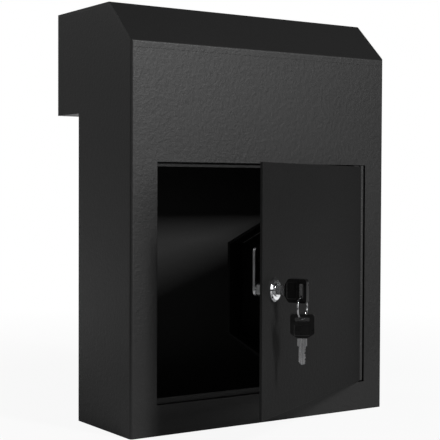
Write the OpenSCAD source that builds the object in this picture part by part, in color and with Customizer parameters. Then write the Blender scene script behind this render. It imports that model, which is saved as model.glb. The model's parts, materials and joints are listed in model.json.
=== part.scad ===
// Key drop box for the back of a wall or door: a sheet steel case with a rear throat,
// a hinged front door with a cam lock, and two keys on a ring.
// The origin is the centre of the four bolt holes, on the rear face of the back panel.
// X runs across the front, Y runs from the front to the rear, Z is up.

/* [Case] */
// Width of the case across its front
body_w = 304; // [296:1:316]
// Height of the case over all
body_h = 406; // [402:1:420]
// Depth from the front face to the rear face of the back panel
body_d = 105; // [100:1:120]
// Thickness of the case and door sheet
sheet_t = 2.5; // [2.3:0.1:2.7]
// Outer radius of the folds in the case
fold_r = 2.8; // [2.8:0.2:5]
// Depth of the sloping part of the hood
slope_d = 42; // [36:1:48]
// Height of the sloping part of the hood
slope_h = 40; // [34:1:46]

/* [Throat] */
// Height of the throat behind the top of the case
throat_h = 102; // [98:1:106]
// Reach of the throat behind the back panel
throat_d = 46; // [40:1:60]
// Width of the mouth in the throat's rear plate
mouth_w = 250; // [200:1:260]
// Height of the mouth
mouth_h = 66; // [50:1:70]

/* [Wall bolts] */
// Distance between the bolt holes across the back
bolt_space_x = 210; // [180:1:230]
// Distance between the bolt holes up the back
bolt_space_z = 200; // [160:1:220]
// Radius of each bolt hole
bolt_hole_r = 4.25; // [3:0.25:5]

/* [Doorway] */
// Front sheet left of the doorway
frame_left = 28; // [26:1:32]
// Front sheet right of the doorway
frame_right = 24; // [23:1:28]
// Front sheet below the doorway
frame_bottom = 29; // [27:1:34]
// Height of the doorway
doorway_h = 226.5; // [220:0.5:228]

/* [Door and hinge] */
// Angle at which the door stands open
door_open = 29.3; // [0:0.1:70]
// Gap round the door when it is shut
door_gap = 1.5; // [1.2:0.1:2.5]
// Gap between the hinge barrel and the front sheet
hinge_gap = 2.3; // [1.6:0.1:2.6]
// Radius of the hinge barrel
barrel_r = 2.3; // [2.2:0.1:2.5]
// Thickness of the hinge leaves
leaf_t = 1.1; // [1:0.1:1.2]
// Width of each leaf from the pin's axis
leaf_w = 16; // [14:1:18]
// Radius of the hinge pin
pin_r = 1.1; // [1:0.05:1.15]
// Length of one hinge knuckle
knuckle_len = 12.7; // [12:0.1:13]

/* [Lock] */
// Distance of the lock's axis from the hinge pin
lock_reach = 222.4; // [218:0.2:224]
// Height of the lock's axis above the origin
lock_z = -9.4; // [-13:0.2:-6]
// Radius of the lock's bezel
bezel_r = 10.7; // [10.4:0.1:11.4]
// Radius of the threaded housing
housing_r = 6.3; // [6.2:0.1:6.5]
// Length of the cam from the lock's axis to its tip
cam_len = 37; // [35:1:40]
// Width of the cam
cam_w = 13; // [12:0.5:14]

/* [Lock guard] */
// Height of the guard where it meets the door
guard_h = 123; // [118:1:128]
// Depth of the guard behind the door
guard_d = 38; // [35:1:42]
// Width of the guard along the door
guard_w = 27.5; // [27:0.5:30]

/* [Keys] */
// Length of the cut blade of a key
blade_len = 16; // [15.5:0.1:16.2]
// Width of the blade
blade_w = 6; // [5.6:0.1:6.2]
// Thickness of the blade
blade_t = 2.2; // [2:0.1:2.3]
// Height and width of the moulded head
head_size = 21; // [20:0.5:22]
// Thickness of the moulded head
head_t = 5; // [4.6:0.1:5.2]
// Mean radius of the key ring
ring_r = 9.9; // [9.7:0.1:10.2]
// Radius of the key ring's wire
wire_r = 0.7; // [0.6:0.05:0.7]
// Turn of the spare key about its own length
spare_turn = 24; // [0:1:24]

/* [Hidden] */
$fn = 64;

// Edges of the case
side_x = body_w / 2;
front_y = -body_d;
low_z = -(body_h - throat_h) / 2;
top_z = low_z + body_h;
throat_z = top_z - throat_h;
slope_low_z = top_z - slope_h;
inner_x = side_x - sheet_t;

// Edges of the doorway
doorway_left = -side_x + frame_left;
doorway_right = side_x - frame_right;
doorway_low = low_z + frame_bottom;
doorway_top = doorway_low + doorway_h;

// The hinge leaves lie on the rear faces of the front sheet and the door
leaf_front = barrel_r - leaf_t;
skin_out = sheet_t - leaf_front;
hinge_x = doorway_right - barrel_r - hinge_gap;
hinge_y = front_y + skin_out;
leaf_start = barrel_r + 0.4;
running_gap = 0.08;
knuckle_gap = 0.15;
hinge_top = doorway_top - 0.5;
cut_knuckle = 8.4;
knuckle_count = floor((hinge_top - cut_knuckle - doorway_low - 1.5) / knuckle_len);
hinge_low = hinge_top - cut_knuckle - knuckle_count * knuckle_len;

// Door, as the distance from the pin
door_reach = hinge_x - doorway_left - door_gap;
door_root = barrel_r + 1.7;
door_low = doorway_low + door_gap;
door_top = doorway_top - door_gap;

// Lock, as heights along its axis, outward from the hinge pin's plane
bezel_rim = skin_out + 1.8;
bezel_top = bezel_rim + 1.2;
plug_top = bezel_top + 1;
plug_r = 4.9;
plug_face_r = 5.9;
flat_half = 5.4;
lock_nut_t = 3.5;
lock_nut_r = 9.6;
housing_end = -13.2;
cam_front = -14;
cam_t = 2;
cam_back = cam_front - cam_t;
washer_t = 0.5;
washer_r = 4.8;
screw_r = 2;
screw_head_r = 3.8;
screw_head_t = 1.3;
screw_len = 3.5;
square_w = 6;
wafer_count = 5;
first_wafer = 3;
wafer_pitch = 2.8;
wafer_t = 0.8;
wafer_w = 4.4;
wafer_h = 8.6;

// Keys, as heights along the blade from the plug's face
shoulder_len = 6.8;
shoulder_w = 8.4;
seat_gap = 0.15;
tang_len = 9;
window_w = 12.5;
window_h = 3.5;
window_band = 3;
blade_top = plug_top + seat_gap;
head_low = blade_top + shoulder_len;
head_top = head_low + head_size;
window_top = head_top - window_band;
window_mid = window_top - window_h / 2;
blade_tip = plug_top - blade_len;
bite_depths = [0.5, 1.1, 0.4, 0.9, 0.6];

// The ring turns about the strip of the head beside the window
strip_mid = (window_w + head_size) / 4;
ring_drop = ring_r - wire_r - norm([head_t / 2, (head_size - window_w) / 4]) - 0.15;
ring_low = strip_mid + ring_drop + ring_r;
spare_lift = 1.2;

// Sheets inside the case
thin_t = 1.5;
guard_t = 2;
baffle_t = 2;
stop_left = doorway_left - 12;
stop_right = hinge_x - leaf_w - 4;
stop_set_back = 0.5;
strike_h = 60;

function unit(v) = v / norm(v);
function left_of(v) = [-v[1], v[0]];
function mitre(a, b, c, t) =
    let (n1 = left_of(unit(b - a)), n2 = left_of(unit(c - b)))
    b + (n1 + n2) * t / (1 + n1 * n2);
function shifted(p, t) = [for (i = [0:len(p) - 1])
    i == 0 ? p[0] + t * left_of(unit(p[1] - p[0]))
    : i == len(p) - 1 ? p[i] + t * left_of(unit(p[i] - p[i - 1]))
    : mitre(p[i - 1], p[i], p[i + 1], t)];

// Points round one corner at b, with radius r
function corner(a, b, c, r, steps = 8) =
    let (d1 = unit(a - b), d2 = unit(c - b), half = acos(d1 * d2) / 2,
        centre = b + unit(d1 + d2) * r / sin(half),
        from = b + d1 * r / tan(half) - centre, to = b + d2 * r / tan(half) - centre,
        a0 = atan2(from[1], from[0]), turn = atan2(from[0] * to[1] - from[1] * to[0], from * to))
    [for (i = [0:steps]) centre + r * [cos(a0 + turn * i / steps), sin(a0 + turn * i / steps)]];
function rounded(p, r) = concat([p[0]],
    [for (i = [1:1:len(p) - 2]) each corner(p[i - 1], p[i], p[i + 1], r)], [p[len(p) - 1]]);
function rounded_all(p, r) = [for (i = [0:len(p) - 1])
    each corner(p[(i + len(p) - 1) % len(p)], p[i], p[(i + 1) % len(p)], r)];

// Outer face of the hood from its front lip over the slope to the rear of the throat
hood_lip = 6;
hood_line = rounded([[front_y, slope_low_z - hood_lip], [front_y, slope_low_z],
    [front_y + slope_d, top_z], [throat_d, top_z]], fold_r);

// Section of a folded sheet whose one face follows the line
module folded(line, t) {
    far = shifted(line, t);
    polygon(concat(line, [for (i = [len(far) - 1:-1:0]) far[i]]));
}

// Section drawn in Y and Z, drawn out along X
module along_x(from, to) {
    translate([from, 0, 0]) rotate([90, 0, 90]) linear_extrude(to - from) children();
}

// Block with the plan of the case, its walls set in by the given distance. Its corners are a
// little rounder than the folds, so that what it cuts stays clear of them.
module case_block(inset) {
    x = side_x - inset;
    y = front_y + inset;
    outline = rounded([[-x, throat_d], [-x, y], [x, y], [x, throat_d]], fold_r - 0.98 * inset);
    translate([0, 0, low_z]) linear_extrude(body_h) polygon(outline);
}

module hood_section() {
    folded(hood_line, -sheet_t);
}

module case_wrapper() {
    outer = rounded([[-side_x, throat_d], [-side_x, front_y], [side_x, front_y],
        [side_x, throat_d]], fold_r);
    side = [[front_y, low_z], [0, low_z], [0, throat_z], [throat_d, throat_z],
        [throat_d, top_z], [front_y + slope_d, top_z], [front_y, slope_low_z]];
    color("#26272a") difference() {
        intersection() {
            translate([0, 0, low_z]) linear_extrude(body_h) folded(outer, sheet_t);
            along_x(-side_x, side_x) polygon(side);
        }
        along_x(-side_x - 1, side_x + 1) hood_section();
        along_x(-side_x - 1, side_x + 1) hood_corner_cut();
        translate([doorway_left, front_y - 1, doorway_low])
            cube([doorway_right - doorway_left, sheet_t + 2, doorway_h]);
    }
}

// What lies outside the hood's rounded folds
module hood_corner_cut() {
    beyond = 9;
    polygon(concat(hood_line, [[throat_d, top_z + beyond], [front_y - beyond, top_z + beyond],
        [front_y - beyond, slope_low_z - hood_lip]]));
}

module hood_panel() {
    color("#242528") intersection() {
        along_x(-side_x, side_x) hood_section();
        case_block(0);
    }
}

module bottom_panel() {
    flange_h = 12;
    line = [[-inner_x, low_z + flange_h], [-inner_x, low_z], [inner_x, low_z],
        [inner_x, low_z + flange_h]];
    color("#242528") intersection() {
        translate([0, -sheet_t, 0]) rotate([90, 0, 0])
            linear_extrude(body_d - 2 * sheet_t) folded(rounded(line, fold_r), sheet_t);
        case_block(sheet_t);
    }
}

module back_panel() {
    color("#242528") difference() {
        translate([-inner_x, -sheet_t, low_z]) cube([2 * inner_x, sheet_t, throat_z - low_z]);
        for (x = [-1, 1], z = [-1, 1])
            translate([x * bolt_space_x / 2, 1, z * bolt_space_z / 2])
                rotate([90, 0, 0]) cylinder(h = sheet_t + 2, r = bolt_hole_r);
    }
}

module throat_floor() {
    lip_y = -22;
    lip_h = 14;
    line = [[lip_y, throat_z - lip_h], [lip_y, throat_z + sheet_t],
        [throat_d - sheet_t, throat_z + sheet_t]];
    color("#242528") along_x(-inner_x, inner_x) folded(rounded(line, fold_r), -sheet_t);
}

module throat_frame() {
    frame_h = throat_h - sheet_t;
    color("#242528") difference() {
        translate([-inner_x, throat_d - sheet_t, throat_z]) cube([2 * inner_x, sheet_t, frame_h]);
        translate([-mouth_w / 2, throat_d - sheet_t - 1, throat_z + (frame_h - mouth_h) / 2])
            cube([mouth_w, sheet_t + 2, mouth_h]);
    }
}

module chute_baffle() {
    weld_y = front_y + sheet_t;
    weld_z = doorway_top + 24;
    weld_h = 18;
    edge_y = front_y + body_d * 0.54;
    edge_z = doorway_top + 12;
    lip = 10;
    line = [[weld_y, weld_z + weld_h], [weld_y, weld_z], [edge_y, edge_z], [edge_y, edge_z - lip]];
    color("#242528") intersection() {
        along_x(-inner_x, inner_x) folded(rounded(line, baffle_t + 1), baffle_t);
        case_block(sheet_t);
    }
}

// Stepped strip behind one edge of the doorway: edge is its height, way is the side it laps
module door_stop(edge, way, shown) {
    lap = 13;
    step = 2.5;
    y0 = front_y + sheet_t;
    y1 = y0 + stop_set_back;
    line = [[y0, edge + way * lap], [y0, edge + way * (step + 1)], [y1, edge + way * step],
        [y1, edge - way * shown]];
    color("#26272a") along_x(stop_left, stop_right) folded(line, way * thin_t);
}

module door_stop_top() door_stop(doorway_top, 1, 4.3);

module door_stop_bottom() door_stop(doorway_low, -1, 6);

// The shut and locked cam lies behind the end of this angle
module strike_bracket() {
    foot = 20;
    leg_x = doorway_left - thin_t;
    end_y = hinge_y - cam_front - 0.6;
    line = [[leg_x - foot, front_y + sheet_t], [leg_x, front_y + sheet_t], [leg_x, end_y]];
    color("#26272a") translate([0, 0, lock_z - strike_h / 2])
        linear_extrude(strike_h) folded(rounded(line, 2), thin_t);
}

// One hinge leaf that reaches along +X, with every second knuckle from the given one
module hinge_leaf(first, bore_r) {
    translate([leaf_start, leaf_front, hinge_low])
        cube([leaf_w - leaf_start, leaf_t, hinge_top - hinge_low]);
    for (i = [first:2:knuckle_count]) {
        top = hinge_top - (i == 0 ? 0 : cut_knuckle + (i - 1) * knuckle_len);
        h = (i == 0 ? cut_knuckle : knuckle_len) - knuckle_gap;
        translate([0, 0, top - h]) difference() {
            union() {
                cylinder(h = h, r = barrel_r);
                cube([leaf_start + 0.5, barrel_r, h]);
            }
            translate([0, 0, -1]) cylinder(h = h + 2, r = bore_r);
        }
    }
}

module frame_hinge_leaf() {
    color("#36373b") translate([hinge_x, hinge_y, 0]) hinge_leaf(0, pin_r);
}

module hinge_pin() {
    color("#8d9095") translate([hinge_x, hinge_y, hinge_low])
        cylinder(h = hinge_top - hinge_low, r = pin_r);
}

// Places what turns with the door: X reaches from the pin to the right, Y is inward
module in_door() {
    translate([hinge_x, hinge_y, 0]) rotate([0, 0, door_open]) children();
}

// Places what lies on the lock's axis: Z is outward from the door, Y is up
module in_lock() {
    in_door() translate([-lock_reach, 0, lock_z]) rotate([90, 0, 0]) children();
}

module flatted_rod(r, low, high) {
    intersection() {
        translate([0, 0, low]) cylinder(h = high - low, r = r);
        translate([-flat_half, -r - 1, low]) cube([2 * flat_half, 2 * r + 2, high - low]);
    }
}

module door_panel() {
    color("#1e1f21") difference() {
        in_door() translate([-door_reach, -skin_out, door_low])
            cube([door_reach - door_root, sheet_t, door_top - door_low]);
        in_lock() flatted_rod(housing_r + 0.05, -leaf_front - 1, skin_out + 1);
    }
}

module door_hinge_leaf() {
    color("#2c2d30") in_door() mirror([1, 0, 0]) hinge_leaf(1, pin_r + running_gap);
}

module lock_guard() {
    flange = 10;
    slant = 22;
    far = leaf_front + guard_d;
    right = guard_w - 5.5;
    line = [[leaf_front, guard_h / 2 + flange], [leaf_front, guard_h / 2],
        [far, guard_h / 2 - slant], [far, slant - guard_h / 2],
        [leaf_front, -guard_h / 2], [leaf_front, -guard_h / 2 - flange]];
    cheek = [[leaf_front, guard_h / 2 - 1], [far, guard_h / 2 - slant - 1],
        [far, slant + 1 - guard_h / 2], [leaf_front, 1 - guard_h / 2]];
    color("#242528") in_door() translate([-lock_reach, 0, lock_z]) {
        along_x(right - guard_w, right) folded(line, guard_t);
        along_x(right - guard_t, right) polygon(cheek);
    }
}

module lock_housing() {
    color("#dfe1e4") in_lock() difference() {
        union() {
            translate([0, 0, skin_out]) cylinder(h = bezel_rim - skin_out, r = bezel_r);
            translate([0, 0, bezel_rim])
                cylinder(h = bezel_top - bezel_rim, r1 = bezel_r, r2 = bezel_r - 1.6);
            flatted_rod(housing_r, housing_end, skin_out + 0.5);
        }
        translate([0, 0, housing_end - 1])
            cylinder(h = bezel_top - housing_end + 2, r = plug_r + running_gap);
    }
}

module lock_nut() {
    color("#c4c7ca") in_lock() translate([0, 0, -leaf_front - lock_nut_t]) difference() {
        cylinder(h = lock_nut_t, r = lock_nut_r, $fn = 6);
        translate([0, 0, -1]) cylinder(h = lock_nut_t + 2, r = housing_r);
    }
}

module each_wafer() {
    for (i = [0:wafer_count - 1])
        translate([0, 0, plug_top - first_wafer - wafer_t / 2 - i * wafer_pitch]) children();
}

module lock_plug() {
    keyway_w = blade_t + 0.4;
    keyway_h = blade_w + 0.8;
    slot_w = wafer_w + 0.2;
    color("#cfd2d5") in_lock() difference() {
        union() {
            translate([0, 0, cam_front + 0.1]) cylinder(h = plug_top - cam_front - 0.1, r = plug_r);
            translate([0, 0, bezel_top + 0.1]) cylinder(h = 0.9, r = plug_face_r);
            translate([-square_w / 2, -square_w / 2, cam_back + 0.1])
                cube([square_w, square_w, cam_t + 0.1]);
        }
        translate([-keyway_w / 2, -keyway_h / 2, blade_tip - 0.8])
            cube([keyway_w, keyway_h, blade_len + 2]);
        each_wafer() translate([-slot_w / 2, -plug_r - 1, -0.1])
            cube([slot_w, 2 * plug_r + 2, wafer_t + 0.2]);
        translate([0, 0, cam_back - 1]) cylinder(h = screw_len + 1.2, r = screw_r);
    }
}

module lock_wafers() {
    color("#c9a84c") in_lock() each_wafer() linear_extrude(wafer_t) difference() {
        square([wafer_w, wafer_h], center = true);
        square([blade_t + 0.6, blade_w + 1], center = true);
    }
}

module lock_cam() {
    half = cam_w / 2;
    tip_r = 4;
    outline = concat(
        corner([-half, cam_len], [-half, -half], [half, -half], half - 0.1),
        corner([-half, -half], [half, -half], [half, cam_len], half - 0.1),
        corner([half, -half], [half, cam_len], [-half, cam_len], tip_r),
        corner([half, cam_len], [-half, cam_len], [-half, -half], tip_r));
    color("#c9ccd0") in_lock() translate([0, 0, cam_back]) linear_extrude(cam_t) difference() {
        polygon(outline);
        square(square_w + 0.1, center = true);
    }
}

module cam_washer() {
    color("#b9bcc0") in_lock() translate([0, 0, cam_back - washer_t]) difference() {
        cylinder(h = washer_t, r = washer_r);
        translate([0, 0, -1]) cylinder(h = washer_t + 2, r = screw_r + 0.1);
    }
}

// Screw with a low crowned head and a cross recess
module cam_screw() {
    crown = 0.4;
    slot = 0.9;
    color("#b9bcc0") in_lock() translate([0, 0, cam_back - washer_t]) difference() {
        union() {
            translate([0, 0, -0.5]) cylinder(h = washer_t + screw_len + 0.5, r = screw_r);
            translate([0, 0, crown - screw_head_t])
                cylinder(h = screw_head_t - crown, r = screw_head_r);
            translate([0, 0, -screw_head_t])
                cylinder(h = crown, r1 = screw_head_r - 1, r2 = screw_head_r);
        }
        for (a = [0, 90]) rotate([0, 0, a]) translate([-2, -slot / 2, -screw_head_t - 1])
            cube([4, slot, 1.8]);
    }
}

// Places a drawing made in the key's Y and Z, with the sheet's middle at X = 0
module key_sheet(t) {
    translate([-t / 2, 0, 0]) rotate([90, 0, 90]) linear_extrude(t) children();
}

module tang() {
    translate([-shoulder_w / 2, head_low - 0.01]) square([shoulder_w, tang_len]);
}

// A key's metal: shoulder, cut blade with its bites on the -Y side, milled grooves and tang
module key_metal() {
    half = blade_w / 2;
    bite_z = [for (i = [0:len(bite_depths) - 1]) plug_top - first_wafer - i * wafer_pitch];
    bites = [for (i = [0:len(bite_depths) - 1]) each
        [[-half, bite_z[i] + 1], [bite_depths[i] - half, bite_z[i] + 0.3],
            [bite_depths[i] - half, bite_z[i] - 0.3], [-half, bite_z[i] - 1]]];
    difference() {
        key_sheet(blade_t) union() {
            tang();
            translate([-shoulder_w / 2, blade_top])
                square([shoulder_w, shoulder_len]);
            polygon(concat([[-half, blade_top + 0.1]], bites,
                [[-0.6, blade_tip], [0.6, blade_tip], [half, blade_tip + 2.6],
                    [half, blade_top + 0.1]]));
        }
        for (side = [-1, 1]) translate([side * blade_t / 2 - 0.25, -0.2, blade_tip - 1])
            cube([0.5, 1.6, blade_len + 4]);
    }
}

// A key's moulded head with its ring window and a shallow panel on each face
module moulded_head() {
    half = head_size / 2;
    neck = shoulder_w / 2 + 0.2;
    chamfer = 4;
    panel_x = 7;
    panel_low = head_low + 2.5;
    panel_top = head_low + 11.5;
    outline = [[-half, head_low + chamfer], [-neck, head_low], [neck, head_low],
        [half, head_low + chamfer], [half, head_top], [-half, head_top]];
    panel = [[-panel_x, panel_low], [panel_x, panel_low], [panel_x, panel_top],
        [-panel_x, panel_top]];
    window = [[-window_w / 2, window_top - window_h], [window_w / 2, window_top - window_h],
        [window_w / 2, window_top], [-window_w / 2, window_top]];
    difference() {
        key_sheet(head_t) difference() {
            polygon(rounded_all(outline, 2.4));
            polygon(rounded_all(window, 1));
        }
        for (side = [-1, 1]) translate([side * (head_t / 2 + 0.1), 0, 0])
            key_sheet(1.2) polygon(rounded_all(panel, 1.2));
        key_sheet(blade_t) tang();
    }
}

// Places the spare key, which hangs from the lowest point of the ring
module in_spare() {
    in_door() translate([-lock_reach, -window_mid, lock_z - ring_low])
        rotate([0, 0, spare_turn]) translate([0, 0, spare_lift - window_top]) children();
}

module key_blade() color("#c8cacd") in_lock() key_metal();

module key_head() color("#141416") in_lock() moulded_head();

module key_ring() {
    color("#d5d7da") in_lock() translate([0, -strip_mid - ring_drop, window_mid])
        rotate_extrude() translate([ring_r, 0]) circle(r = wire_r, $fn = 24);
}

module spare_key_blade() color("#c8cacd") in_spare() key_metal();

module spare_key_head() color("#141416") in_spare() moulded_head();

case_wrapper();
hood_panel();
bottom_panel();
back_panel();
throat_floor();
throat_frame();
chute_baffle();
door_stop_top();
door_stop_bottom();
strike_bracket();
frame_hinge_leaf();
hinge_pin();
door_panel();
door_hinge_leaf();
lock_guard();
lock_housing();
lock_nut();
lock_plug();
lock_wafers();
lock_cam();
cam_washer();
cam_screw();
key_blade();
key_head();
key_ring();
spare_key_blade();
spare_key_head();
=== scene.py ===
"""Looks of the key drop box: finishes, wound key ring, lock thread, lights and camera.

Lengths are in metres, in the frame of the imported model: X across the front, Y to the rear, Z up.
"""
import json
import math

import bpy
import bmesh
from mathutils import Matrix, Vector


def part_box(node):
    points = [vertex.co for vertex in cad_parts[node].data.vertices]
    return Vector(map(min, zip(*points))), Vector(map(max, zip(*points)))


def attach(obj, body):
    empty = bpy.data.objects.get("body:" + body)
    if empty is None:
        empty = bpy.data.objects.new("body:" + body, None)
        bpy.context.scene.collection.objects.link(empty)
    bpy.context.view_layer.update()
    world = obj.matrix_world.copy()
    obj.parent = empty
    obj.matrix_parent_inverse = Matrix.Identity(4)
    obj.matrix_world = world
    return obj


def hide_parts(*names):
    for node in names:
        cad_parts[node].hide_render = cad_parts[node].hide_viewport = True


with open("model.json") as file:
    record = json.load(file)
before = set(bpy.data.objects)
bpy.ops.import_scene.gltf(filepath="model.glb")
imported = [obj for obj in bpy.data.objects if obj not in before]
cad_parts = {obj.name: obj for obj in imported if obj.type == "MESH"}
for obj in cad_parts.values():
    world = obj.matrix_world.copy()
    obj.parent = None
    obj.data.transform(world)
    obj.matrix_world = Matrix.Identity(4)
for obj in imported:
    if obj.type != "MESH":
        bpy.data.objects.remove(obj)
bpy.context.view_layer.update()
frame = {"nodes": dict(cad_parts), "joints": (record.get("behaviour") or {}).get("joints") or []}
nodes = frame["nodes"]
joints = {j["name"]: j for j in frame["joints"]}

# Camera, fitted to the corners of the case in the photograph
IMAGE_SIZE = 440
FOCAL_PIXELS = 1169.8
SENSOR_MM = 36.0
CLIP_END = 50.0
CAMERA_PLACE = Vector((-0.6776, -1.0376, 0.0800))
CAMERA_TURN = math.radians(33.759)
CAMERA_PITCH = math.radians(-1.597)
CAMERA_ROLL = math.radians(0.231)

FLOOR_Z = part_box("bottom_panel")[0].z


# Small helpers for shader nodes

def new_material(name):
    material = bpy.data.materials.new(name)
    material.use_nodes = True
    tree = material.node_tree
    tree.nodes.clear()
    output = tree.nodes.new("ShaderNodeOutputMaterial")
    shader = tree.nodes.new("ShaderNodeBsdfPrincipled")
    tree.links.new(shader.outputs["BSDF"], output.inputs["Surface"])
    return material, tree, shader


def object_place(tree):
    return tree.nodes.new("ShaderNodeTexCoord").outputs["Object"]


def noise(tree, place, scale, detail=3.0, rough=0.5, stretch=None):
    if stretch:
        mapping = tree.nodes.new("ShaderNodeMapping")
        mapping.inputs["Scale"].default_value = stretch
        tree.links.new(place, mapping.inputs["Vector"])
        place = mapping.outputs["Vector"]
    node = tree.nodes.new("ShaderNodeTexNoise")
    node.inputs["Scale"].default_value = scale
    node.inputs["Detail"].default_value = detail
    node.inputs["Roughness"].default_value = rough
    tree.links.new(place, node.inputs["Vector"])
    return node.outputs["Fac"]


def ramp(tree, value, low, high, low_colour, high_colour):
    node = tree.nodes.new("ShaderNodeValToRGB")
    first, last = node.color_ramp.elements
    first.position, last.position = low, high
    first.color = (*low_colour, 1.0)
    last.color = (*high_colour, 1.0)
    tree.links.new(value, node.inputs["Fac"])
    return node.outputs["Color"]


def grey(level):
    return (level, level, level)


def bump(tree, height, strength, distance, normal=None):
    node = tree.nodes.new("ShaderNodeBump")
    node.inputs["Strength"].default_value = strength
    node.inputs["Distance"].default_value = distance
    tree.links.new(height, node.inputs["Height"])
    if normal is not None:
        tree.links.new(normal, node.inputs["Normal"])
    return node.outputs["Normal"]


def soft_edges(tree, radius):
    node = tree.nodes.new("ShaderNodeBevel")
    node.samples = 6
    node.inputs["Radius"].default_value = radius
    return node.outputs["Normal"]


def maths(tree, operation, a, b):
    """One Math node. Each value is a socket or a number."""
    node = tree.nodes.new("ShaderNodeMath")
    node.operation = operation
    for socket, value in zip(node.inputs, (a, b)):
        if isinstance(value, float):
            socket.default_value = value
        else:
            tree.links.new(value, socket)
    return node.outputs[0]


def mix_colour(tree, share, low, high):
    node = tree.nodes.new("ShaderNodeMix")
    node.data_type = "RGBA"
    tree.links.new(share, node.inputs["Factor"])
    for socket, value in ((node.inputs[6], low), (node.inputs[7], high)):
        if isinstance(value, tuple):
            socket.default_value = (*value, 1.0)
        else:
            tree.links.new(value, socket)
    return node.outputs[2]


def edge_share(tree, rounded_normal):
    """1 along sharp edges, where the rounded normal leaves the face's own, and 0 elsewhere."""
    flat = tree.nodes.new("ShaderNodeNewGeometry").outputs["Normal"]
    node = tree.nodes.new("ShaderNodeVectorMath")
    node.operation = "DOT_PRODUCT"
    tree.links.new(flat, node.inputs[0])
    tree.links.new(rounded_normal, node.inputs[1])
    return ramp(tree, node.outputs["Value"], 0.80, 0.985, grey(1.0), grey(0.0))


def facing(tree, place, way):
    """How far a place or direction lies along a way."""
    node = tree.nodes.new("ShaderNodeVectorMath")
    node.operation = "DOT_PRODUCT"
    node.inputs[1].default_value = way
    tree.links.new(place, node.inputs[0])
    return node.outputs["Value"]


def light_path(tree):
    return tree.nodes.new("ShaderNodeLightPath")


# Finishes

COAT_GRAIN = 1100.0
COAT_RIPPLE = 270.0
COAT_CLOUD = 9.0
COAT_PATCH = 120.0
METAL_TONE = 60.0
METAL_SCRATCH = 900.0
CAVITY_REACH = 0.0012
PLASTIC_TONE = 120.0
PLASTIC_GRAIN = 2200.0
PLASTIC_EDGE = 0.00045


def powder_coat(name, dark, light, roughness, gloss, edge=0.0004, edge_highlight_gain=1.6):
    """Textured black powder coat: a fine grain over a ripple of a few millimetres, a slow
    change of tone, and edges painted lighter in patches as a highlight, and a little smoother."""
    material, tree, shader = new_material(name)
    place = object_place(tree)
    grain = noise(tree, place, COAT_GRAIN, detail=2.0)
    ripple = noise(tree, place, COAT_RIPPLE, detail=3.0, rough=0.6)
    cloud = noise(tree, place, COAT_CLOUD, detail=3.0)
    rounded = soft_edges(tree, edge)
    patchy = noise(tree, place, COAT_PATCH, detail=2.0)
    patchy = ramp(tree, patchy, 0.35, 0.65, grey(0.4), grey(1.0))
    # Painted highlight: the edges are lightened in patches, and made a little smoother.
    highlight_mask = maths(tree, "MULTIPLY", edge_share(tree, rounded), patchy)
    colour = ramp(tree, cloud, 0.3, 0.7, dark, light)
    highlight_colour = tuple(edge_highlight_gain * c for c in light)
    tree.links.new(mix_colour(tree, highlight_mask, colour, highlight_colour), shader.inputs["Base Color"])
    rough = ramp(tree, grain, 0.3, 0.7, grey(roughness - 0.05), grey(roughness + 0.06))
    eased = maths(tree, "MULTIPLY", highlight_mask, 0.08)
    rough = maths(tree, "SUBTRACT", rough, eased)
    tree.links.new(rough, shader.inputs["Roughness"])
    shader.inputs["Specular IOR Level"].default_value = gloss
    normal = bump(tree, ripple, 0.33, 0.0008, rounded)
    normal = bump(tree, grain, 0.26, 0.0003, normal)
    tree.links.new(normal, shader.inputs["Normal"])
    return material


def cavity(tree, reach):
    """1 on open surfaces, less in grooves and corners."""
    node = tree.nodes.new("ShaderNodeAmbientOcclusion")
    node.samples = 8
    node.only_local = True
    node.inputs["Distance"].default_value = reach
    return node.outputs["AO"]


def metal(name, colour, roughness, spread=0.12, streak=0.0, edge=0.0002, groove_shade=0.5):
    """Plated or turned metal with fine scratches, a slight change of tone and grooves darkened as
    painted shade.
    """
    material, tree, shader = new_material(name)
    place = object_place(tree)
    shader.inputs["Metallic"].default_value = 1.0
    tone = noise(tree, place, METAL_TONE, detail=3.0)
    dark = tuple(0.86 * c for c in colour)
    plated = ramp(tree, tone, 0.3, 0.7, dark, colour)
    # Painted shade: grooves and corners darkened where ambient occlusion finds them.
    groove_shade_colour = tuple(groove_shade * c for c in colour)
    unshaded_share = ramp(tree, cavity(tree, CAVITY_REACH), 0.35, 0.85, grey(0.0), grey(1.0))
    tree.links.new(mix_colour(tree, unshaded_share, groove_shade_colour, plated), shader.inputs["Base Color"])
    scratch = noise(tree, place, METAL_SCRATCH, detail=3.0, stretch=(1.0, 1.0, 0.06))
    rough = ramp(tree, scratch, 0.3, 0.75, grey(roughness), grey(roughness + spread))
    tree.links.new(rough, shader.inputs["Roughness"])
    normal = soft_edges(tree, edge)
    if streak:
        normal = bump(tree, scratch, streak, 0.0001, normal)
    tree.links.new(normal, shader.inputs["Normal"])
    return material


def moulded_plastic(name, dark, light, roughness, gloss, edge_highlight_gain=7.0):
    """Satin moulded plastic with the faint grain of the tool, rubbed tone and edges painted paler
    as a highlight.
    """
    material, tree, shader = new_material(name)
    place = object_place(tree)
    tone = noise(tree, place, PLASTIC_TONE, detail=3.0)
    grain = noise(tree, place, PLASTIC_GRAIN, detail=2.0)
    rounded = soft_edges(tree, PLASTIC_EDGE)
    colour = ramp(tree, tone, 0.3, 0.7, dark, light)
    # Painted highlight: edges several times paler than the face.
    highlight_colour = tuple(edge_highlight_gain * c for c in light)
    tree.links.new(mix_colour(tree, edge_share(tree, rounded), colour, highlight_colour),
                   shader.inputs["Base Color"])
    rough = ramp(tree, tone, 0.25, 0.75, grey(roughness - 0.04), grey(roughness + 0.08))
    tree.links.new(rough, shader.inputs["Roughness"])
    shader.inputs["Specular IOR Level"].default_value = gloss
    normal = bump(tree, grain, 0.12, 0.0002, rounded)
    tree.links.new(normal, shader.inputs["Normal"])
    return material


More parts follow.
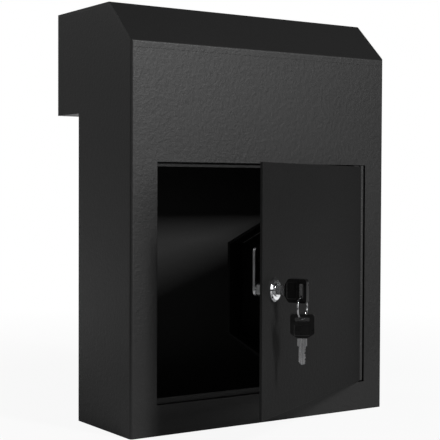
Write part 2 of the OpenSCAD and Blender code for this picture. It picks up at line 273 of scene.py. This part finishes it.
case_coat = powder_coat("case_coat", grey(0.0110), grey(0.0125), 0.48, 0.62)
# Door: the case's black paint with a lighter base, painted light standing in for the light on the
# door, and a wide painted highlight along its edges, the free edge most of all.
door_coat = powder_coat("door_coat", grey(0.0150), grey(0.0170), 0.56, 0.10, edge=0.0011,
                        edge_highlight_gain=2.4)
inner_coat = powder_coat("inner_coat", grey(0.0180), grey(0.0210), 0.50, 0.20)
# Back panel: the case's black paint made about four times lighter, painted light for the pool of
# light that falls on it through the doorway.
back_lightened_coat = powder_coat("back_lightened_coat", grey(0.0430), grey(0.0480), 0.52, 0.08)
# Lock guard: the black paint made darker, painted shade for the shadow behind the open door.
guard_darkened_coat = powder_coat("guard_darkened_coat", grey(0.0040), grey(0.0055), 0.50, 0.08)
hinge_paint = powder_coat("hinge_paint", grey(0.030), grey(0.045), 0.42, 0.45, edge=0.0003)
chrome = metal("chrome", (0.86, 0.87, 0.89), 0.05, spread=0.05, edge=0.0006)
plug_metal = metal("plug_metal", (0.78, 0.79, 0.80), 0.04, spread=0.08, edge=0.0004)
zinc = metal("zinc", (0.84, 0.85, 0.86), 0.24, streak=0.12, groove_shade=0.6)
nickel = metal("nickel", (0.62, 0.62, 0.63), 0.20, streak=0.25, groove_shade=0.35)
brass = metal("brass", (0.72, 0.54, 0.22), 0.25, streak=0.2)
key_plastic = moulded_plastic("key_plastic", grey(0.0052), grey(0.0072), 0.28, 0.16)

FINISHES = {
    "case_wrapper": case_coat, "hood_panel": case_coat, "bottom_panel": case_coat,
    "back_panel": back_lightened_coat, "throat_floor": inner_coat, "throat_frame": case_coat,
    "chute_baffle": inner_coat, "door_stop_top": case_coat, "door_stop_bottom": case_coat,
    "strike_bracket": inner_coat, "frame_hinge_leaf": hinge_paint, "hinge_pin": zinc,
    "door_panel": door_coat, "door_hinge_leaf": hinge_paint, "lock_guard": guard_darkened_coat,
    "lock_housing": chrome, "lock_nut": zinc, "lock_plug": plug_metal, "lock_wafers": brass,
    "lock_cam": zinc, "cam_washer": zinc, "cam_screw": zinc, "key_blade": nickel,
    "key_head": key_plastic, "key_ring": chrome, "spare_key_blade": nickel,
    "spare_key_head": key_plastic,
}


def dress(piece, material):
    piece.data.materials.clear()
    piece.data.materials.append(material)


for node_name, finish in FINISHES.items():
    dress(nodes[node_name], finish)


def add_mesh(name, mesh, body, material):
    piece = bpy.data.objects.new(name, mesh)
    bpy.context.scene.collection.objects.link(piece)
    dress(piece, material)
    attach(piece, body)
    return piece


# The key ring, wound from two turns of wire

RING_WIRE = 0.00042
RING_TURNS = 2
RING_STEPS = 72
RING_SIDES = 12
RING_START = 2.2
RING_SPACING = RING_WIRE * 1.02


def lock_axis():
    axis = Vector(joints["lock_turn"]["axis"]).normalized()
    return Vector(joints["lock_turn"]["pos_m"]), axis


def join_rings(mesh, rings):
    """Faces between each ring of corners and the next."""
    for low, high in zip(rings, rings[1:]):
        for k in range(len(low)):
            n = (k + 1) % len(low)
            mesh.faces.new((low[k], low[n], high[n], high[k]))


def tube_along(points, radius, sides):
    """A closed tube round an open line of points."""
    mesh = bmesh.new()
    rings = []
    side = (points[1] - points[0]).cross(Vector((0, 0, 1))).normalized()
    for i, point in enumerate(points):
        ahead = points[min(i + 1, len(points) - 1)] - points[max(i - 1, 0)]
        ahead.normalize()
        side = (side - ahead * side.dot(ahead)).normalized()
        other = ahead.cross(side)
        rings.append([mesh.verts.new(point + radius * (math.cos(a) * side + math.sin(a) * other))
                      for a in (math.tau * k / sides for k in range(sides))])
    join_rings(mesh, rings)
    mesh.faces.new(list(reversed(rings[0])))
    mesh.faces.new(rings[-1])
    bmesh.ops.recalc_face_normals(mesh, faces=mesh.faces)
    return mesh


def mesh_from(bm, name, smooth=True):
    mesh = bpy.data.meshes.new(name)
    bm.to_mesh(mesh)
    bm.free()
    for polygon in mesh.polygons:
        polygon.use_smooth = smooth
    return mesh


def make_ring():
    """Two turns side by side, which cross over in the middle turn."""
    low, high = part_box("key_ring")
    centre = (low + high) / 2
    outer = (high.z - low.z) / 2
    _, axis = lock_axis()
    across = Vector((0, 0, 1)).cross(axis).normalized()
    radius = outer - RING_WIRE
    points = []
    for i in range(RING_TURNS * RING_STEPS + 1):
        turn = i / RING_STEPS
        angle = math.tau * turn + RING_START
        if turn < 0.5:
            shift = -RING_SPACING
        elif turn > RING_TURNS - 0.5:
            shift = RING_SPACING
        else:
            t = (turn - 0.5) / (RING_TURNS - 1.0)
            ease = t * t * (3 - 2 * t)
            shift = RING_SPACING * (2 * ease - 1)
        points.append(centre + radius * (math.cos(angle) * across
                                         + math.sin(angle) * Vector((0, 0, 1))) + axis * shift)
    mesh = mesh_from(tube_along(points, RING_WIRE, RING_SIDES), "split_ring")
    ring = add_mesh("split_ring", mesh, "ring", chrome)
    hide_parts("key_ring")


make_ring()

# The thread on the lock's body, behind the nut

THREAD_PITCH = 0.0010
THREAD_DEPTH = 0.00030
THREAD_CORE = 0.0063
THREAD_FLAT = 0.0054
THREAD_FROM = -0.0048
THREAD_TO = -0.0130
THREAD_PROUD = 0.00004
THREAD_SIDES = 72


def make_thread():
    """Ridged collar round the flatted body, open inside, from the nut to the body's end."""
    place, axis = lock_axis()
    across = Vector((0, 0, 1)).cross(axis).normalized()
    up = Vector((0, 0, 1))
    flat = THREAD_FLAT + THREAD_PROUD
    count = round((THREAD_FROM - THREAD_TO) / THREAD_PITCH * 2)
    levels = [(THREAD_FROM - i * THREAD_PITCH / 2, THREAD_CORE + (i % 2) * THREAD_DEPTH)
              for i in range(count + 1)]
    mesh = bmesh.new()
    rings = []
    for height, radius in levels:
        ring = []
        for k in range(THREAD_SIDES):
            angle = math.tau * k / THREAD_SIDES
            x = max(-flat, min(flat, radius * math.cos(angle)))
            z = radius * math.sin(angle)
            ring.append(mesh.verts.new(place + across * x + up * z + axis * height))
        rings.append(ring)
    join_rings(mesh, rings)
    bmesh.ops.recalc_face_normals(mesh, faces=mesh.faces)
    add_mesh("lock_thread", mesh_from(mesh, "lock_thread", False), "door", zinc)


make_thread()


# Floor, lights and camera

FLOOR_WHITE = 0.92
FLOOR_RADIUS = 1.6
FLOOR_SIDES = 96
FLOOR_GAP = 0.0002
NEAR_FLOOR = 0.35
FAR_FLOOR = 1.0
PAPER_HALF = 0.36
PAPER_EDGE = 0.04
PAPER_TONE = 0.55
STUDIO_TONE = 0.06
WORLD_FILL = 0.13
WORLD_FRONT = 0.03
WORLD_BEHIND = 0.20
BACKDROP_WAY = (0.555, 0.832, 0.0)
LEFT_REAR_WAY = (-0.555, 0.832, 0.0)
LIGHT_AIM = Vector((0.0, -0.06, 0.05))
WHITE = (1.0, 1.0, 1.0)


def make_floor():
    """A strip of white paper from front to back on a darker studio floor. The camera sees the
    whole floor white, with the shadow of the box kept near it."""
    mesh = bmesh.new()
    bmesh.ops.create_circle(mesh, cap_ends=True, radius=FLOOR_RADIUS,
                            segments=FLOOR_SIDES)
    floor = bpy.data.objects.new("floor", mesh_from(mesh, "floor", False))
    floor.location = (0, 0, FLOOR_Z - FLOOR_GAP)
    bpy.context.scene.collection.objects.link(floor)
    material = bpy.data.materials.new("pale_floor")
    material.use_nodes = True
    tree = material.node_tree
    tree.nodes.clear()
    output = tree.nodes.new("ShaderNodeOutputMaterial")
    lit = tree.nodes.new("ShaderNodeBsdfDiffuse")
    place = object_place(tree)
    path = light_path(tree)
    split = tree.nodes.new("ShaderNodeSeparateXYZ")
    tree.links.new(place, split.inputs["Vector"])
    aside = maths(tree, "ABSOLUTE", split.outputs["X"], 0.0)
    paper = ramp(tree, aside, PAPER_HALF, PAPER_HALF + PAPER_EDGE, grey(PAPER_TONE),
                 grey(STUDIO_TONE))
    seen_tone = ramp(tree, noise(tree, place, 3.0), 0.3, 0.7, grey(0.78), grey(0.80))
    tree.links.new(mix_colour(tree, path.outputs["Is Camera Ray"], paper, seen_tone),
                   lit.inputs["Color"])
    far = tree.nodes.new("ShaderNodeVectorMath")
    far.operation = "LENGTH"
    tree.links.new(place, far.inputs[0])
    near_far = ramp(tree, far.outputs["Value"], NEAR_FLOOR, FAR_FLOOR, grey(FLOOR_WHITE),
                    grey(1.0))
    behind = ramp(tree, facing(tree, place, BACKDROP_WAY), 0.15, 0.30, grey(0.0), grey(1.0))
    mirrored = maths(tree, "MAXIMUM", path.outputs["Is Glossy Ray"],
                     path.outputs["Is Transmission Ray"])
    mirrored = maths(tree, "MULTIPLY", mirrored, behind)
    seen = maths(tree, "MAXIMUM", path.outputs["Is Camera Ray"], mirrored)
    glow = tree.nodes.new("ShaderNodeEmission")
    glow.inputs["Color"].default_value = (*WHITE, 1.0)
    glow.inputs["Strength"].default_value = 1.0
    mix = tree.nodes.new("ShaderNodeMixShader")
    tree.links.new(maths(tree, "MULTIPLY", near_far, seen), mix.inputs["Fac"])
    tree.links.new(lit.outputs["BSDF"], mix.inputs[1])
    tree.links.new(glow.outputs["Emission"], mix.inputs[2])
    tree.links.new(mix.outputs["Shader"], output.inputs["Surface"])
    floor.data.materials.append(material)


def make_world():
    """White to the camera and in reflections behind the box, dim in front of it and for fill."""
    world = bpy.data.worlds.new("studio")
    bpy.context.scene.world = world
    world.use_nodes = True
    tree = world.node_tree
    tree.nodes.clear()
    output = tree.nodes.new("ShaderNodeOutputWorld")
    fill = tree.nodes.new("ShaderNodeBackground")
    fill.inputs["Color"].default_value = (*WHITE, 1.0)
    fill.inputs["Strength"].default_value = WORLD_FILL
    white = tree.nodes.new("ShaderNodeBackground")
    white.inputs["Color"].default_value = (*WHITE, 1.0)
    white.inputs["Strength"].default_value = 1.0
    glossy = tree.nodes.new("ShaderNodeBackground")
    glossy.inputs["Strength"].default_value = 1.0
    place = tree.nodes.new("ShaderNodeTexCoord").outputs["Generated"]
    dim = ramp(tree, facing(tree, place, LEFT_REAR_WAY), 0.4, 0.8, grey(WORLD_FRONT),
               grey(WORLD_BEHIND))
    paper = ramp(tree, facing(tree, place, BACKDROP_WAY), 0.90, 0.96, grey(0.0), grey(1.0))
    tree.links.new(mix_colour(tree, paper, dim, WHITE), glossy.inputs["Color"])
    path = light_path(tree)
    first = tree.nodes.new("ShaderNodeMixShader")
    tree.links.new(path.outputs["Is Glossy Ray"], first.inputs["Fac"])
    tree.links.new(fill.outputs["Background"], first.inputs[1])
    tree.links.new(glossy.outputs["Background"], first.inputs[2])
    seen = maths(tree, "MAXIMUM", path.outputs["Is Camera Ray"],
                 path.outputs["Is Transmission Ray"])
    second = tree.nodes.new("ShaderNodeMixShader")
    tree.links.new(seen, second.inputs["Fac"])
    tree.links.new(first.outputs["Shader"], second.inputs[1])
    tree.links.new(white.outputs["Background"], second.inputs[2])
    tree.links.new(second.outputs["Shader"], output.inputs["Surface"])


def area_light(name, azimuth, elevation, distance, width, height, power):
    """A flat lamp aimed at the box. Azimuth 0 is in front, and grows to the right."""
    a, e = math.radians(azimuth), math.radians(elevation)
    way = Vector((math.sin(a) * math.cos(e), -math.cos(a) * math.cos(e), math.sin(e)))
    data = bpy.data.lights.new(name, "AREA")
    data.shape = "RECTANGLE"
    data.size = width
    data.size_y = height
    data.energy = power
    lamp = bpy.data.objects.new(name, data)
    lamp.location = LIGHT_AIM + distance * way
    lamp.rotation_euler = (-way).to_track_quat("-Z", "Y").to_euler()
    bpy.context.scene.collection.objects.link(lamp)
    return lamp


# Name, azimuth, elevation, distance, width, height and power of each lamp
LAMPS = [
    ("key_lamp", 13.7, 31, 2.4, 0.26, 0.44, 31.5),
    ("right_lamp", 20, 12, 2.4, 0.8, 0.8, 8.5),
    ("left_rear_lamp", -128, 44, 1.2, 0.5, 0.5, 2.6),
    ("left_lamp", -112, 18, 2.4, 1.0, 1.0, 0.6),
    ("left_front_lamp", -52, 14, 2.4, 1.2, 1.2, 3.6),
]


# Lamps that are kept off the parts inside the box, which only the key lamp reaches
SCREENED_LAMPS = ("right_lamp", "left_rear_lamp", "left_lamp", "left_front_lamp")
INSIDE = ("back_panel", "throat_floor", "chute_baffle", "door_stop_top", "door_stop_bottom",
          "strike_bracket", "lock_guard")


def screen_inside(lamp):
    group = bpy.data.collections.new(lamp.name + "_screen")
    lamp.light_linking.receiver_collection = group
    for name in INSIDE:
        group.objects.link(nodes[name])
    for member in group.collection_objects:
        member.light_linking.link_state = "EXCLUDE"


def make_lights():
    for row in LAMPS:
        lamp = area_light(*row)
        if lamp.name in SCREENED_LAMPS:
            screen_inside(lamp)


def make_camera():
    turn, pitch, roll = CAMERA_TURN, CAMERA_PITCH, CAMERA_ROLL
    ahead = Vector((math.sin(turn) * math.cos(pitch), math.cos(turn) * math.cos(pitch),
                    math.sin(pitch)))
    right = Vector((math.cos(turn), -math.sin(turn), 0))
    up = right.cross(ahead)
    right, up = (math.cos(roll) * right + math.sin(roll) * up,
                 math.cos(roll) * up - math.sin(roll) * right)
    data = bpy.data.cameras.new("camera")
    data.sensor_width = SENSOR_MM
    data.sensor_fit = "HORIZONTAL"
    data.lens = SENSOR_MM * FOCAL_PIXELS / IMAGE_SIZE
    data.clip_end = CLIP_END
    camera = bpy.data.objects.new("camera", data)
    columns = Matrix((right, up, -ahead)).transposed()
    camera.matrix_world = Matrix.Translation(CAMERA_PLACE) @ columns.to_4x4()
    bpy.context.scene.collection.objects.link(camera)
    bpy.context.scene.camera = camera


make_floor()
make_world()
make_lights()
make_camera()
bpy.context.scene.view_settings.view_transform = "Standard"
